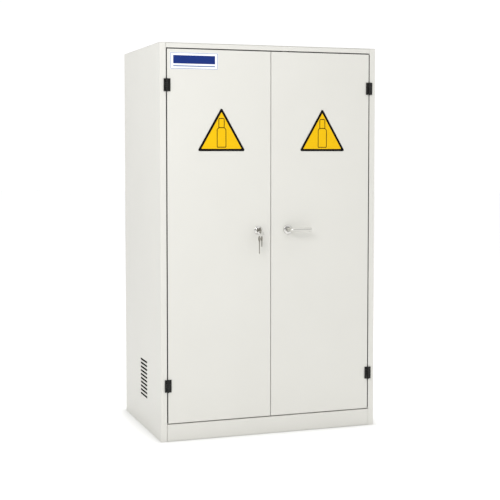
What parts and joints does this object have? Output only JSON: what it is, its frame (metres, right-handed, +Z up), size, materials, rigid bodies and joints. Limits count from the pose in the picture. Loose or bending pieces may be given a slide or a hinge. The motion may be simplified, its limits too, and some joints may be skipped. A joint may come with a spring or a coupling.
{
  "type": "safety storage cabinet",
  "caption": "White steel two-door safety storage cabinet with external black hinges, key lock, lever-driven bolts, triangular hazard plates and low side vents.",
  "frame": {"origin": "on the floor, in the middle of the outline that the closed cabinet and its lever cover", "axes": "+Z up, the doors face -Y, +X to the right when facing the doors"},
  "size_m": [0.907, 0.645, 1.55],
  "materials": {
    "white_paint": "fine-textured satin powder coat",
    "hinge_black": "black coated zinc casting, satin",
    "chrome": "polished chrome plate",
    "key_metal": "nickel-plated brass, satin",
    "zinc_plate": "bright zinc plate",
    "galvanised": "galvanised, spangled",
    "sign_yellow": "gloss yellow plate with a black rim",
    "label_white": "gloss white plate, blank",
    "vent_black": "matt black",
    "rubber": "matt"
  },
  "bodies": {
    "carcass": {"left_side_panel": "white_paint", "right_side_panel": "white_paint", "top_panel": "white_paint", "back_panel": "white_paint", "floor_panel": "white_paint", "header_rail": "white_paint", "kick_rail": "white_paint", "left_vent_baffle": "vent_black", "right_vent_baffle": "vent_black", "upper_keeper": "zinc_plate", "lower_keeper": "zinc_plate", "left_upper_frame_leaf": "hinge_black", "left_lower_frame_leaf": "hinge_black", "right_upper_frame_leaf": "hinge_black", "right_lower_frame_leaf": "hinge_black", "left_upper_hinge_pin": "zinc_plate", "left_lower_hinge_pin": "zinc_plate", "right_upper_hinge_pin": "zinc_plate", "right_lower_hinge_pin": "zinc_plate", "left_shelf_runner": "white_paint", "right_shelf_runner": "white_paint", "cylinder_rail": "white_paint", "left_bar_hook": "zinc_plate", "right_bar_hook": "zinc_plate", "left_upper_buffer": "rubber", "left_lower_buffer": "rubber", "right_upper_buffer": "rubber", "right_lower_buffer": "rubber"},
    "left_door": {"left_door_pan": "white_paint", "left_door_stiffener": "white_paint", "left_upper_door_leaf": "hinge_black", "left_lower_door_leaf": "hinge_black", "left_sign_plate": "sign_yellow", "name_plate": "label_white", "lock_housing": "chrome", "lock_nut": "zinc_plate"},
    "lock": {"lock_plug": "chrome", "lock_cam": "zinc_plate"},
    "key": {"door_key": "key_metal"},
    "key_ring": {"key_ring": "chrome", "long_spare_key": "key_metal", "short_spare_key": "key_metal"},
    "right_door": {"right_door_pan": "white_paint", "right_door_stiffener": "white_paint", "right_upper_door_leaf": "hinge_black", "right_lower_door_leaf": "hinge_black", "right_sign_plate": "sign_yellow", "handle_rosette": "chrome", "spindle_bush": "zinc_plate", "upper_bolt_guide": "zinc_plate", "lower_bolt_guide": "zinc_plate"},
    "lever": {"lever_handle": "chrome", "spindle": "zinc_plate", "bolt_cam": "zinc_plate"},
    "upper_bolt": {"upper_bolt": "zinc_plate"},
    "lower_bolt": {"lower_bolt": "zinc_plate"},
    "shelf": {"shelf": "white_paint"},
    "spill_tray": {"spill_tray": "galvanised"},
    "retaining_bar": {"retaining_bar": "zinc_plate"}
  },
  "joints": [
    {"name": "left_door_hinge", "type": "hinge", "parent": "carcass", "child": "left_door", "pos_m": [-0.427, -0.2825, 0.8], "axis": [0, 0, 1], "range_deg": [-120, 0]},
    {"name": "right_door_hinge", "type": "hinge", "parent": "carcass", "child": "right_door", "pos_m": [0.427, -0.2825, 0.8], "axis": [0, 0, 1], "range_deg": [0, 120]},
    {"name": "lever_turn", "type": "hinge", "parent": "right_door", "child": "lever", "pos_m": [0.072, -0.2775, 0.82], "axis": [0, 1, 0], "range_deg": [0, 90]},
    {"name": "upper_bolt_slide", "type": "slide", "parent": "right_door", "child": "upper_bolt", "axis": [0, 0, 1], "range_m": [0, 0.018]},
    {"name": "lower_bolt_slide", "type": "slide", "parent": "right_door", "child": "lower_bolt", "axis": [0, 0, -1], "range_m": [0, 0.018]},
    {"name": "lock_turn", "type": "hinge", "parent": "left_door", "child": "lock", "pos_m": [-0.053, -0.2775, 0.82], "axis": [0, -1, 0], "range_deg": [0, 90]},
    {"name": "key_pull", "type": "slide", "parent": "lock", "child": "key", "axis": [0, -1, 0], "range_m": [0, 0.028]},
    {"name": "key_ring_swing", "type": "hinge", "parent": "key", "child": "key_ring", "pos_m": [-0.053, -0.307, 0.8178], "axis": [1, 0, 0], "range_deg": [-75, 8]},
    {"name": "shelf_lift", "type": "slide", "parent": "carcass", "child": "shelf", "axis": [0, 0, 1], "range_m": [0, 0.03]},
    {"name": "tray_lift", "type": "slide", "parent": "carcass", "child": "spill_tray", "axis": [0, 0, 1], "range_m": [0, 0.1]},
    {"name": "bar_lift", "type": "slide", "parent": "carcass", "child": "retaining_bar", "axis": [0, 0, 1], "range_m": [0, 0.04]}
  ],
  "couplings": [
    {"joint": "upper_bolt_slide", "follows": "lever_turn", "m_per_rad": 0.011459},
    {"joint": "lower_bolt_slide", "follows": "lever_turn", "m_per_rad": 0.011459}
  ]
}
